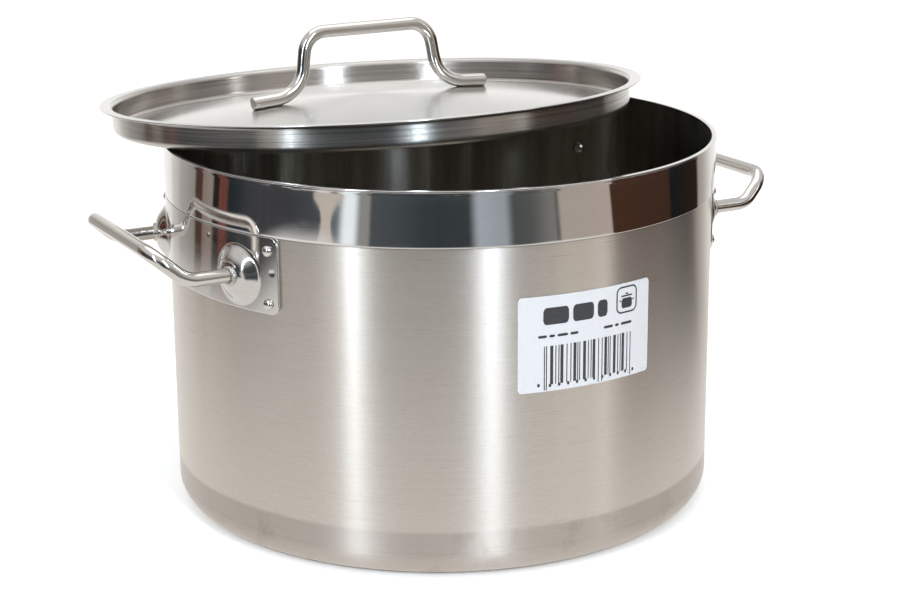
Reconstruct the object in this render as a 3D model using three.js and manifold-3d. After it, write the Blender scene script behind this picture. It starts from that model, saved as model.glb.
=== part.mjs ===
// Stainless-steel stock pot with a loose inset lid.
// Millimetres, +Z up. The origin is the centre of the underside, on the pot's axis.
// The two side handles lie on the X axis, and the sticker faces -Y.
// The lid lies askew: slid towards the back, where it overhangs, and resting on the rim.
import * as THREE from 'three';
import { mergeVertices } from 'three/addons/utils/BufferGeometryUtils.js';
import Module from 'manifold-3d';

const wasm = await Module();
wasm.setup();

// ---- Driving dimensions ----

const gap = 0.3;               // clearance between pieces that touch on the real pot
const turnSegments = 60;       // facets round everything that is turned about the pot's axis
const bossSegments = 20;
const rivetSegments = 12;
const barSteps = 40;           // sections along each bent bar
const drillLength = 60;        // a hole's cutter, long enough to pass right through

const potRadius = 160;         // outside of the wall
const potHeight = 216;         // rim above the surface it stands on
const wallSheet = 1.0;         // drawn steel of wall and bottom
const cornerRadius = 14;       // outside, wall into bottom; the base cap repeats it lower down
const cornerSteps = 6;
const bottomZ = 5.5;           // underside of the drawn bottom, above the base disc
const lipThickness = 1.0;      // edge of the sheet, turned out over the rim band

const bandHeight = 29.3;       // polished reinforcing band under the lip
const bandSheet = 1.4;

const capSheet = 0.8;          // steel cap pressed over the base disc, flush with the wall
const capTopZ = 15.2;
const capEdgeSheet = 0.38;     // the cap's upper edge, ground thin to blend into the wall
const coreThickness = 4.1;     // aluminium heat-spreading disc
const coreRadius = 148;
const coreChamfer = 2;

const plateSheet = 1.5;        // handle plate, rolled to the wall
const plateTopZ = 184.9;
const plateBottomZ = 142.8;
const plateHalfAngle = 29.9;   // degrees either side of the handle's centre plane
const plateCornerRadius = 5;

const bossAngle = 19.5;        // degrees either side of the handle's centre plane
const bossZ = 162;
const bossBaseRadius = 14.8;
const bossFootFillet = 1.4;    // how far the foot runs in before the flank starts
const bossFlankRun = 3.4;      // from the foot to half height
const bossTopFillet = 1.3;
const bossTopRadius = 6.6;
const bossHeight = 6;
const bossSheet = 1.3;

const rodRadius = 4;           // all three handles are 8 mm bar
const rodSides = 12;           // an even number
const gripRootReach = 154;     // from the pot's axis to the rod's hidden end
const gripBendReach = 182;     // to the bend where the leg starts to rise
const gripReach = 199.5;       // to the centre line of the grip
const gripLegOffset = 55;      // of each leg, sideways from the centre plane
const gripCornerOffset = 50;
const gripZ = 177.4;
const gripBendRadius = 16;
const gripCornerRadius = 14;

const collarRadius = 5.7;      // weld bead round each leg where it enters its boss
const collarHeight = 1.6;

const rivetAngle = 27.4;       // degrees either side of the handle's centre plane
const rivetUpperZ = 177.9;
const rivetLowerZ = 148.3;
const rivetShankRadius = 2;
const rivetOuterHeadRadius = 3.2;
const rivetOuterHeadHeight = 2;
const rivetInnerHeadRadius = 3.8;
const rivetInnerHeadHeight = 2.1;

const labelWidth = 85.2;
const labelHeight = 52.8;
const labelCentreZ = 130.4;
const labelAngle = 1.7;        // degrees from -Y towards +X
const labelThickness = 0.25;
const labelCornerRadius = 2.2;

const lidSheet = 0.9;
const lidSkirtRadius = 157.8;  // outside of the upright skirt, a loose fit in the wall
const lidFlangeRadius = 165.2;
const lidDepth = 16.4;         // flange top down to the skirt's lower edge
const lidCornerRadius = 4;
const lidFlangeFillet = 2.5;
const lidDomeRadius = 950;     // sphere of the crowned middle

const lidHandleHalfSpan = 77.5;   // to the end of each foot
const lidHandleLegOffset = 46;    // to the bend from foot to leg
const lidHandleTopOffset = 40.4;  // to the bend from leg to bar
const lidHandleHeight = 37;       // bar's centre line above the flange
const lidHandleFootRadius = 20;
const lidHandleTopRadius = 14;
const lidHandleAngle = -2.4;      // degrees from +X towards +Y, in the lid's own plane

const lidShift = 71.5;         // how far the lid lies off centre
const lidShiftAngle = 98;      // degrees from +X towards +Y
const lidTilt = 4.18;          // degrees, down on the overhanging side
const lidFlangeZ = 231.32;     // height of the flange's centre, where the lid just clears the rim

// ---- Materials ----

function steel(name, color, roughness) {
  return new THREE.MeshStandardMaterial({ name, color, roughness, metalness: 1 });
}

const brushedSteel = steel('brushed_steel', 0xc4beb5, 0.38);
const polishedSteel = steel('polished_steel', 0xd2d0cc, 0.08);
const satinSteel = steel('satin_steel', 0xc9c8c4, 0.25);
const rodSteel = steel('rod_steel', 0xd8d4ce, 0.15);
const aluminium = steel('aluminium', 0xd5d6d8, 0.45);
const labelPaper = new THREE.MeshStandardMaterial({
  name: 'label_paper', color: 0xf4f4f2, roughness: 0.55, metalness: 0,
});

// ---- Solids ----

function toSolid(geometry) {
  const bare = geometry.index ? geometry.toNonIndexed() : geometry.clone();
  bare.deleteAttribute('normal');
  bare.deleteAttribute('uv');
  const merged = mergeVertices(bare, 1e-4);
  return new wasm.Manifold(new wasm.Mesh({
    numProp: 3,
    vertProperties: new Float32Array(merged.attributes.position.array),
    triVerts: new Uint32Array(merged.index.array),
  }));
}

function toGeometry(solid) {
  const mesh = solid.getMesh();
  const geometry = new THREE.BufferGeometry();
  geometry.setAttribute('position', new THREE.BufferAttribute(mesh.vertProperties, 3));
  geometry.setIndex(new THREE.BufferAttribute(mesh.triVerts, 1));
  const faceted = geometry.toNonIndexed();
  faceted.computeVertexNormals();
  return faceted;
}

function degrees(value) {
  return THREE.MathUtils.degToRad(value);
}

// Points [radius, height] become a solid of revolution about +Z.
function turned(profile, segments = turnSegments) {
  const points = profile.map(([radius, height]) => new THREE.Vector2(radius, height));
  return new THREE.LatheGeometry(points, segments).rotateX(Math.PI / 2);
}

function closedProfile(profile) {
  return [...profile, profile[0]];
}

// An arc of a circle as profile points, from one angle to another in degrees.
function arcPoints(centreRadius, centreHeight, radius, fromAngle, toAngle, steps) {
  const points = [];
  for (let step = 0; step <= steps; step += 1) {
    const angle = degrees(fromAngle + (toAngle - fromAngle) * (step / steps));
    points.push([centreRadius + radius * Math.cos(angle), centreHeight + radius * Math.sin(angle)]);
  }
  return points;
}

// Turns a solid made about +Z so that its axis points along +X, away from the pot's axis.
function pointOutwards(geometry) {
  return geometry.rotateY(Math.PI / 2);
}

function aboutPotAxis(geometry, angle, z) {
  return geometry.rotateZ(degrees(angle)).translate(0, 0, z);
}

// A round-cornered block that reaches out along +X through a ring of the given width and height.
function roundedPrism(width, bottomEdge, topEdge, cornerSize, reach) {
  const half = width / 2;
  const shape = new THREE.Shape();
  shape.moveTo(-half + cornerSize, bottomEdge);
  shape.lineTo(half - cornerSize, bottomEdge);
  shape.absarc(half - cornerSize, bottomEdge + cornerSize, cornerSize, -Math.PI / 2, 0);
  shape.lineTo(half, topEdge - cornerSize);
  shape.absarc(half - cornerSize, topEdge - cornerSize, cornerSize, 0, Math.PI / 2);
  shape.lineTo(-half + cornerSize, topEdge);
  shape.absarc(-half + cornerSize, topEdge - cornerSize, cornerSize, Math.PI / 2, Math.PI);
  shape.lineTo(-half, bottomEdge + cornerSize);
  shape.absarc(-half + cornerSize, bottomEdge + cornerSize, cornerSize, Math.PI, Math.PI * 1.5);
  const prism = new THREE.ExtrudeGeometry(shape, {
    depth: reach, bevelEnabled: false, curveSegments: 5,
  });
  // The shape is drawn in X and Y: X becomes -Y, Y becomes Z, and the extrusion runs along +X.
  return prism.rotateX(Math.PI / 2).rotateZ(Math.PI / 2);
}

// ---- Bent round bar ----

class BendCurve extends THREE.Curve {
  constructor(centre, startArm, endArm) {
    super();
    this.centre = centre;
    this.startArm = startArm;
    this.axis = new THREE.Vector3().crossVectors(startArm, endArm).normalize();
    this.angle = startArm.angleTo(endArm);
  }

  getPoint(fraction, target = new THREE.Vector3()) {
    return target.copy(this.startArm)
      .applyAxisAngle(this.axis, this.angle * fraction)
      .add(this.centre);
  }
}

// Straight runs between the corners, each corner but the ends rounded to its own radius.
function bentPath(corners, radii) {
  const path = new THREE.CurvePath();
  let from = corners[0];
  radii.forEach((radius, index) => {
    const corner = corners[index + 1];
    const toPrevious = new THREE.Vector3().subVectors(corners[index], corner).normalize();
    const toNext = new THREE.Vector3().subVectors(corners[index + 2], corner).normalize();
    const halfAngle = toPrevious.angleTo(toNext) / 2;
    const tangentLength = radius / Math.tan(halfAngle);
    const bendStart = corner.clone().addScaledVector(toPrevious, tangentLength);
    const bendEnd = corner.clone().addScaledVector(toNext, tangentLength);
    const inward = new THREE.Vector3().addVectors(toPrevious, toNext).normalize();
    const centre = corner.clone().addScaledVector(inward, radius / Math.sin(halfAngle));
    path.add(new THREE.LineCurve3(from, bendStart));
    path.add(new BendCurve(centre, bendStart.clone().sub(centre), bendEnd.clone().sub(centre)));
    from = bendEnd;
  });
  path.add(new THREE.LineCurve3(from, corners[corners.length - 1]));
  return path;
}

function bentBar(path) {
  const section = new THREE.Shape();
  section.absarc(0, 0, rodRadius, 0, Math.PI * 2);
  return new THREE.ExtrudeGeometry(section, {
    steps: barSteps, bevelEnabled: false, extrudePath: path, curveSegments: rodSides / 2,
  });
}

// ---- Pot ----

function potShell() {
  const innerRadius = potRadius - wallSheet;
  const innerCorner = cornerRadius - wallSheet;
  const lipRadius = potRadius + gap + bandSheet;
  const lipUndersideZ = potHeight - lipThickness;
  const profile = [
    [0, bottomZ],
    ...arcPoints(potRadius - cornerRadius, bottomZ + cornerRadius, cornerRadius,
      -90, 0, cornerSteps),
    [potRadius, lipUndersideZ],
    [lipRadius, lipUndersideZ],
    ...arcPoints(lipRadius - 0.5 * lipThickness, potHeight - 0.5 * lipThickness,
      0.5 * lipThickness, 0, 90, 1),
    ...arcPoints(innerRadius + 0.5 * lipThickness, potHeight - 0.5 * lipThickness,
      0.5 * lipThickness, 90, 180, 1),
    ...arcPoints(innerRadius - innerCorner, bottomZ + cornerRadius, innerCorner,
      0, -90, cornerSteps),
    [0, bottomZ + wallSheet],
  ];
  return turned(profile);
}

function rimBand() {
  const innerRadius = potRadius + gap;
  const outerRadius = innerRadius + bandSheet;
  const topZ = potHeight - lipThickness - gap;
  const bottomEdgeZ = topZ - bandHeight;
  const edge = 0.5 * bandSheet;
  return turned(closedProfile([
    [innerRadius, bottomEdgeZ],
    [outerRadius - edge, bottomEdgeZ],
    [outerRadius, bottomEdgeZ + edge],
    [outerRadius, topZ],
    [innerRadius, topZ],
  ]));
}

function baseCap() {
  const flatRadius = potRadius - cornerRadius;
  const innerCorner = cornerRadius - capSheet;
  return turned([
    [0, 0],
    ...arcPoints(flatRadius, cornerRadius, cornerRadius, -90, 0, cornerSteps),
    [potRadius, capTopZ],
    [potRadius - capEdgeSheet, capTopZ],
    ...arcPoints(flatRadius, cornerRadius, innerCorner, 0, -90, cornerSteps),
    [0, capSheet],
  ]);
}

function baseCore() {
  const undersideZ = capSheet + gap;
  return turned([
    [0, undersideZ],
    [coreRadius - coreChamfer, undersideZ],
    [coreRadius, undersideZ + coreChamfer],
    [coreRadius, undersideZ + coreThickness - coreChamfer],
    [coreRadius - coreChamfer, undersideZ + coreThickness],
    [0, undersideZ + coreThickness],
  ]);
}

function label() {
  const innerRadius = potRadius + gap;
  const outerRadius = innerRadius + labelThickness;
  const bottomEdge = labelCentreZ - labelHeight / 2;
  const topEdge = labelCentreZ + labelHeight / 2;
  const sleeve = toSolid(turned(closedProfile([
    [innerRadius, bottomEdge - 1],
    [outerRadius, bottomEdge - 1],
    [outerRadius, topEdge + 1],
    [innerRadius, topEdge + 1],
  ])));
  const outline = roundedPrism(labelWidth, bottomEdge, topEdge, labelCornerRadius, 2 * potRadius);
  return toGeometry(sleeve.intersect(toSolid(aboutPotAxis(outline, labelAngle - 90, 0))));
}

// ---- Handle plates, with their pressed bosses ----

// Everything on a handle is made for the +X side and turned half a turn for the other.
const plateOuterRadius = potRadius + gap + plateSheet;

function bossProfile(offset) {
  const shrink = offset / bossHeight;
  const foot = bossBaseRadius - offset;
  const crown = bossTopRadius - offset;
  const height = bossHeight - offset;
  return [
    [foot, 0],
    [foot - bossFootFillet * (1 - shrink), 0.13 * height],
    [foot - bossFlankRun * (1 - shrink), 0.5 * height],
    [crown + bossTopFillet * (1 - shrink), 0.87 * height],
    [crown, height],
  ];
}

// A solid of revolution on the boss's axis, standing on the plate's outer face.
function onBoss(profile, side) {
  const solid = pointOutwards(turned(profile, bossSegments)).translate(plateOuterRadius, 0, 0);
  return aboutPotAxis(solid, side * bossAngle, bossZ);
}

function legHole(side) {
  const radius = rodRadius + gap;
  const hole = new THREE.CylinderGeometry(radius, radius, drillLength, bossSegments);
  return toSolid(hole.rotateZ(Math.PI / 2).translate(potRadius + 25, side * gripLegOffset, bossZ));
}

function rivetHole(side, z) {
  const radius = rivetShankRadius + gap;
  const hole = new THREE.CylinderGeometry(radius, radius, drillLength, rivetSegments);
  return toSolid(aboutPotAxis(hole.rotateZ(Math.PI / 2).translate(potRadius, 0, 0),
    side * rivetAngle, z));
}

function handlePlate() {
  const innerRadius = potRadius + gap;
  const width = 2 * plateOuterRadius * Math.sin(degrees(plateHalfAngle));
  const sleeve = toSolid(turned(closedProfile([
    [innerRadius, plateBottomZ - 1],
    [plateOuterRadius, plateBottomZ - 1],
    [plateOuterRadius, plateTopZ + 1],
    [innerRadius, plateTopZ + 1],
  ])));
  const outline = roundedPrism(width, plateBottomZ, plateTopZ, plateCornerRadius, 2 * potRadius);
  let plate = sleeve.intersect(toSolid(outline));
  const root = 1;
  for (const side of [-1, 1]) {
    const outside = bossProfile(0);
    plate = plate.add(toSolid(onBoss([[0, -root], [bossBaseRadius, -root], ...outside,
      [0, bossHeight]], side)));
    const inside = bossProfile(bossSheet);
    const mouth = bossBaseRadius - bossSheet;
    plate = plate.subtract(toSolid(onBoss([[0, -4], [mouth, -4], ...inside,
      [0, bossHeight - bossSheet]], side)));
    plate = plate.subtract(legHole(side));
    plate = plate.subtract(rivetHole(side, rivetUpperZ));
    plate = plate.subtract(rivetHole(side, rivetLowerZ));
  }
  return plate;
}

function weldCollar(side) {
  const foot = bossHeight + gap;
  const bead = onBoss([
    [0, foot],
    [collarRadius, foot],
    [collarRadius, foot + 0.45 * collarHeight],
    [collarRadius - 0.6, foot + collarHeight],
    [0, foot + collarHeight],
  ], side);
  return toGeometry(toSolid(bead).subtract(legHole(side)));
}

function sideHandle() {
  const corners = [
    new THREE.Vector3(gripRootReach, -gripLegOffset, bossZ),
    new THREE.Vector3(gripBendReach, -gripLegOffset, bossZ),
    new THREE.Vector3(gripReach, -gripCornerOffset, gripZ),
    new THREE.Vector3(gripReach, gripCornerOffset, gripZ),
    new THREE.Vector3(gripBendReach, gripLegOffset, bossZ),
    new THREE.Vector3(gripRootReach, gripLegOffset, bossZ),
  ];
  const radii = [gripBendRadius, gripCornerRadius, gripCornerRadius, gripBendRadius];
  return bentBar(bentPath(corners, radii));
}

function rivet(side, z) {
  const headFace = plateOuterRadius + gap;
  const innerFace = potRadius - wallSheet - gap;
  const profile = [
    [0, innerFace - rivetInnerHeadHeight],
    [0.7 * rivetInnerHeadRadius, innerFace - 0.7 * rivetInnerHeadHeight],
    [rivetInnerHeadRadius, innerFace],
    [rivetShankRadius, innerFace],
    [rivetShankRadius, headFace],
    [rivetOuterHeadRadius, headFace],
    [0.7 * rivetOuterHeadRadius, headFace + 0.7 * rivetOuterHeadHeight],
    [0, headFace + rivetOuterHeadHeight],
  ];
  return aboutPotAxis(pointOutwards(turned(profile, rivetSegments)), side * rivetAngle, z);
}

// ---- Lid, made about its own axis with the flange's top at height 0 ----

const domeEdgeRadius = lidSkirtRadius - lidCornerRadius;
const domeCentreHeight = lidSheet - lidDepth + domeEdgeRadius ** 2 / (2 * lidDomeRadius);

function domeHeight(radius) {
  return domeCentreHeight - radius ** 2 / (2 * lidDomeRadius);
}

function lidPan() {
  const domeSteps = 4;
  const domeTop = [];
  for (let step = 0; step <= domeSteps; step += 1) {
    const radius = domeEdgeRadius * (step / domeSteps);
    domeTop.push([radius, domeHeight(radius)]);
  }
  const domeUnderside = domeTop.map(([radius, height]) => [radius, height - lidSheet]);
  const cornerHeight = lidCornerRadius - lidDepth;
  const fillet = lidFlangeFillet;
  const profile = [
    ...domeUnderside.slice(0, -1),
    ...arcPoints(domeEdgeRadius, cornerHeight, lidCornerRadius, -90, 0, 3),
    ...arcPoints(lidSkirtRadius + fillet, -lidSheet - fillet, fillet, 180, 90, 2),
    [lidFlangeRadius, -lidSheet],
    [lidFlangeRadius, 0],
    ...arcPoints(lidSkirtRadius + fillet, -lidSheet - fillet, fillet + lidSheet, 90, 180, 2),
    ...arcPoints(domeEdgeRadius, cornerHeight, lidCornerRadius - lidSheet, 0, -90, 3),
    ...domeTop.slice(0, -1).reverse(),
  ];
  return turned(profile);
}

function lidHandle() {
  const footEnd = domeHeight(lidHandleHalfSpan) + rodRadius + gap;
  const footBend = domeHeight(lidHandleLegOffset) + rodRadius + gap;
  const half = [
    [lidHandleHalfSpan, footEnd],
    [lidHandleLegOffset, footBend],
    [lidHandleTopOffset, lidHandleHeight],
  ];
  const mirrored = half.map(([across, height]) => [-across, height]);
  const corners = [...mirrored, ...half.reverse()]
    .map(([across, height]) => new THREE.Vector3(across, 0, height));
  const radii = [lidHandleFootRadius, lidHandleTopRadius, lidHandleTopRadius, lidHandleFootRadius];
  return bentBar(bentPath(corners, radii));
}

// ---- Assembly ----

function piece(name, geometry, material) {
  const mesh = new THREE.Mesh(geometry, material);
  mesh.name = name;
  return mesh;
}

const pot = new THREE.Group();
let drilledShell = toSolid(potShell());
for (const turn of [0, 180]) {
  for (const side of [-1, 1]) {
    for (const z of [rivetUpperZ, rivetLowerZ]) {
      const hole = rivetHole(side, z).rotate([0, 0, turn]);
      drilledShell = drilledShell.subtract(hole);
    }
  }
}
pot.add(piece('pot_shell', toGeometry(drilledShell), brushedSteel));
pot.add(piece('rim_band', rimBand(), polishedSteel));
pot.add(piece('base_core', baseCore(), aluminium));
pot.add(piece('base_cap', baseCap(), brushedSteel));
pot.add(piece('label', label(), labelPaper));

const plateGeometry = toGeometry(handlePlate());
for (const [sideName, turn] of [['right', 0], ['left', Math.PI]]) {
  const handle = new THREE.Group();
  handle.rotation.z = turn;
  handle.add(piece(`handle_plate_${sideName}`, plateGeometry.clone(), polishedSteel));
  handle.add(piece(`side_handle_${sideName}`, sideHandle(), rodSteel));
  // Turned half a turn, the +Y end of a handle becomes the front one.
  const ends = turn === 0 ? [['front', -1], ['back', 1]] : [['front', 1], ['back', -1]];
  for (const [endName, side] of ends) {
    const place = `${sideName}_${endName}`;
    handle.add(piece(`weld_collar_${place}`, weldCollar(side), rodSteel));
    handle.add(piece(`rivet_${place}_upper`, rivet(side, rivetUpperZ), polishedSteel));
    handle.add(piece(`rivet_${place}_lower`, rivet(side, rivetLowerZ), polishedSteel));
  }
  pot.add(handle);
}

const lid = new THREE.Group();
const shiftAngle = degrees(lidShiftAngle);
lid.add(piece('lid_pan', lidPan(), satinSteel));
const lidHandleMesh = piece('lid_handle', lidHandle(), rodSteel);
lidHandleMesh.rotation.z = degrees(lidHandleAngle);
lid.add(lidHandleMesh);
const tiltAxis = new THREE.Vector3(-Math.sin(shiftAngle), Math.cos(shiftAngle), 0);
lid.setRotationFromAxisAngle(tiltAxis, degrees(lidTilt));
lid.position.set(lidShift * Math.cos(shiftAngle), lidShift * Math.sin(shiftAngle), lidFlangeZ);

const stockPot = new THREE.Group();
stockPot.add(pot, lid);

export default stockPot;
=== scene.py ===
import math

import bmesh
import bpy
import numpy as np
from mathutils import Matrix, Vector


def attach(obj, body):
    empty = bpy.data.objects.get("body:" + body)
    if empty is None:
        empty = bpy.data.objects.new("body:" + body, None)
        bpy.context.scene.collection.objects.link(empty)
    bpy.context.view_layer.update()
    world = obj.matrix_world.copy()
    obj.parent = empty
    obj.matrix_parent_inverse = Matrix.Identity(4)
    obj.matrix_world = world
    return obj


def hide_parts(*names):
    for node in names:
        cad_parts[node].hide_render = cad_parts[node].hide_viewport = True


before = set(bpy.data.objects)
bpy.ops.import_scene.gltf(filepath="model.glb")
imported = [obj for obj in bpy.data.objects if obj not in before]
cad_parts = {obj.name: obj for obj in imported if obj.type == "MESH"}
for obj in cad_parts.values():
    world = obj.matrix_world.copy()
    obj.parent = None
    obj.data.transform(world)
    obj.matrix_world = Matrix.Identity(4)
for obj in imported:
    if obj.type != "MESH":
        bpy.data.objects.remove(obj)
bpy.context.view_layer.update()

MM = 0.001

# ---- Sizes, as in the CAD model ----

POT_RADIUS = 160.0
POT_HEIGHT = 216.0
WALL_SHEET = 1.0
CORNER_RADIUS = 14.0            # of the wall into the bottom, repeated by the base cap
BOTTOM_Z = 5.5
LIP_RADIUS = 161.7
LIP_THICKNESS = 1.0
LIP_ROUNDING = 0.3

BAND_INNER_RADIUS = 160.3
BAND_OUTER_RADIUS = 161.7
BAND_TOP_Z = 214.9
BAND_BOTTOM_Z = 185.4
BAND_CROWN = 0.2               # how far the band bulges at mid height
BAND_ROLL_HEIGHT = 1.1         # of the rolled strip along its top
BAND_ROLL_DEPTH = 0.04

CAP_TOP_Z = 15.2
CAP_SHEET = 0.8
CAP_EDGE_SHEET = 0.38
FOOT_TOP_Z = 27.0              # of the duller zone at the foot of the wall
GROOVE_RADII = (40.0, 80.0, 120.0)   # pressed rings in the underside
GROOVE_WIDTH = 4.0
GROOVE_DEPTH = 0.3

PLATE_INNER_RADIUS = 160.05
PLATE_OUTER_RADIUS = 161.8
PLATE_TOP_Z = 185.3            # against the band, where the CAD model keeps a gap
PLATE_BOTTOM_Z = 142.8
PLATE_CENTRE_Z = (PLATE_TOP_Z + PLATE_BOTTOM_Z) / 2
PLATE_HALF_ANGLE = 29.8        # degrees either side of the handle's centre plane
PLATE_CORNER_RADIUS = 5.0
PLATE_EDGE_ROUNDING = 0.45

BOSS_ANGLE = 19.5
BOSS_Z = 162.0
BOSS_FOOT_RADIUS = 17.2
BOSS_CROWN_RADIUS = 5.0
BOSS_HEIGHT = 6.0
BOSS_FILLET = 0.22             # share of the flank taken up by the fillet at its foot

ROD_RADIUS = 4.0
GRIP_ROOT_REACH = 154.0
GRIP_BEND_REACH = 182.0
GRIP_REACH = 199.4
GRIP_LEG_OFFSET = 55.0
GRIP_CORNER_OFFSET = 50.0
GRIP_Z = 177.4
GRIP_BEND_RADIUS = 16.0
GRIP_CORNER_RADIUS = 14.0

COLLAR_RADIUS = 5.3
COLLAR_HEIGHT = 1.3
COLLAR_BORE_RADIUS = 3.2       # hidden inside the bar
COLLAR_BEAD_RADIUS = 1.05
COLLAR_RIPPLES = 19

RIVET_ANGLE = 27.4
RIVET_HEIGHTS = {"upper": 177.9, "lower": 148.3}
RIVET_SHANK_RADIUS = 2.0
RIVET_HEAD_RADIUS = 3.0
RIVET_HEAD_HEIGHT = 2.3
RIVET_HEAD_EDGE = 0.35         # height of the upright edge below the dome
RIVET_INNER_RADIUS = 3.8
RIVET_INNER_HEIGHT = 2.3
RIVET_INNER_EDGE = 0.3

LABEL_WIDTH = 85.2
LABEL_HEIGHT = 52.8
LABEL_CENTRE_Z = 130.4
LABEL_ANGLE = 1.7              # degrees from -Y towards +X
LABEL_RADIUS = 160.5
LABEL_CORNER_RADIUS = 2.2
LABEL_EDGE_ROUNDING = 0.12
PRINT_LIFT = 0.04              # of the ink above the paper

LID_SHEET = 0.9
LID_SKIRT_RADIUS = 157.8
LID_FLANGE_RADIUS = 165.1
LID_DEPTH = 16.4
LID_CORNER_RADIUS = 4.0
LID_FLANGE_FILLET = 2.5
LID_DOME_RADIUS = 950.0

LID_HANDLE_HALF_SPAN = 77.5
LID_HANDLE_LEG_OFFSET = 46.0
LID_HANDLE_TOP_OFFSET = 40.4
LID_HANDLE_HEIGHT = 36.95
LID_HANDLE_FOOT_RADIUS = 20.0
LID_HANDLE_TOP_RADIUS = 14.0
LID_HANDLE_ANGLE = -2.4

LID_SHIFT = 71.5
LID_SHIFT_ANGLE = 98.0         # degrees from +X towards +Y
LID_TILT = 4.18
LID_FLANGE_Z = 231.32

SINK = 0.05                    # how deep a seated piece goes into the surface under it

TURN_SEGMENTS = 288

# ---- Mesh building ----


def new_object(name, data):
    item = bpy.data.objects.new(name, data)
    bpy.context.scene.collection.objects.link(item)
    return item


def face_outwards(mesh, merge=0.0):
    """Turns every face outwards, after joining points nearer than the merge distance in metres."""
    builder = bmesh.new()
    builder.from_mesh(mesh)
    if merge:
        bmesh.ops.remove_doubles(builder, verts=builder.verts, dist=merge)
    bmesh.ops.recalc_face_normals(builder, faces=builder.faces)
    builder.to_mesh(mesh)
    builder.free()


def make_piece(name, points, faces, uvs=None, sharp_angle=32):
    """A smooth-shaded object from points in millimetres; edges sharper than the angle stay sharp."""
    mesh = bpy.data.meshes.new(name)
    mesh.from_pydata([Vector(p) * MM for p in points], [], faces)
    if uvs is not None:
        layer = mesh.uv_layers.new(name="UVMap")
        for loop in mesh.loops:
            layer.data[loop.index].uv = uvs[loop.vertex_index]
    face_outwards(mesh)
    mesh.shade_smooth()
    mesh.set_sharp_from_angle(angle=math.radians(sharp_angle))
    return new_object(name, mesh)


def arc(centre_radius, centre_height, radius, from_angle, to_angle, steps=8):
    angles = np.radians(np.linspace(from_angle, to_angle, steps + 1))
    return [(centre_radius + radius * math.cos(a), centre_height + radius * math.sin(a))
            for a in angles]


def with_support(profile, longest=12.0, guard=0.25):
    """Adds points beside each end of a long run, so that smooth shading stays flat along it."""
    dense = [profile[0]]
    for (r0, z0), (r1, z1) in zip(profile, profile[1:]):
        length = math.hypot(r1 - r0, z1 - z0)
        if length > 4 * guard:
            parts = max(1, math.ceil(length / longest))
            inner = [i / parts for i in range(1, parts)]
            for t in [guard / length, *inner, 1 - guard / length]:
                dense.append((r0 + (r1 - r0) * t, z0 + (z1 - z0) * t))
        dense.append((r1, z1))
    return dense


def turned(profile, segments=TURN_SEGMENTS, closed=False):
    """Points and faces of a surface turned about +Z. A radius of 0 becomes one pole."""
    points = []
    rings = []
    for radius, height in profile:
        if radius < 1e-6:
            rings.append([len(points)] * segments)
            points.append((0.0, 0.0, height))
            continue
        rings.append(list(range(len(points), len(points) + segments)))
        for step in range(segments):
            angle = 2 * math.pi * step / segments
            points.append((radius * math.cos(angle), radius * math.sin(angle), height))
    faces = []
    pairs = list(zip(rings, rings[1:]))
    if closed:
        pairs.append((rings[-1], rings[0]))
    for lower, upper in pairs:
        for step in range(segments):
            after = (step + 1) % segments
            corners = [lower[step], lower[after], upper[after], upper[step]]
            faces.append(list(dict.fromkeys(corners)))
    return points, faces


def placed(points, matrix):
    return [tuple(matrix @ Vector(p)) for p in points]


def on_wall(angle, radius, height):
    """A point on the pot's round wall; the angle is in radians from +X towards +Y."""
    return (radius * math.cos(angle), radius * math.sin(angle), height)


def outward_matrix(angle, reach, height):
    """Takes +Z to the outward direction at an angle in degrees round the pot."""
    turn = Matrix.Rotation(math.radians(angle), 4, "Z")
    return turn @ Matrix.Translation((reach, 0, height)) @ Matrix.Rotation(math.pi / 2, 4, "Y")


# ---- Bent round bar ----


def bent_path(corners, radii, straight_step=5.0, bend_steps=16):
    """Straight runs between the corners, with each inner corner rounded to its radius."""
    corners = [Vector(c) for c in corners]
    path = [corners[0]]

    def run_to(target):
        start = path[-1].copy()
        parts = max(1, math.ceil((target - start).length / straight_step))
        for step in range(1, parts + 1):
            path.append(start.lerp(target, step / parts))

    for before, corner, after, radius in zip(corners, corners[1:], corners[2:], radii):
        back = (before - corner).normalized()
        ahead = (after - corner).normalized()
        half = back.angle(ahead) / 2
        start = corner + back * (radius / math.tan(half))
        centre = corner + (back + ahead).normalized() * (radius / math.sin(half))
        axis = (start - centre).cross(corner + ahead * (radius / math.tan(half)) - centre)
        run_to(start)
        arm = start - centre
        for step in range(1, bend_steps + 1):
            turn = Matrix.Rotation((math.pi - 2 * half) * step / bend_steps, 3, axis)
            path.append(centre + turn @ arm)
    run_to(corners[-1])
    return path


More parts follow.
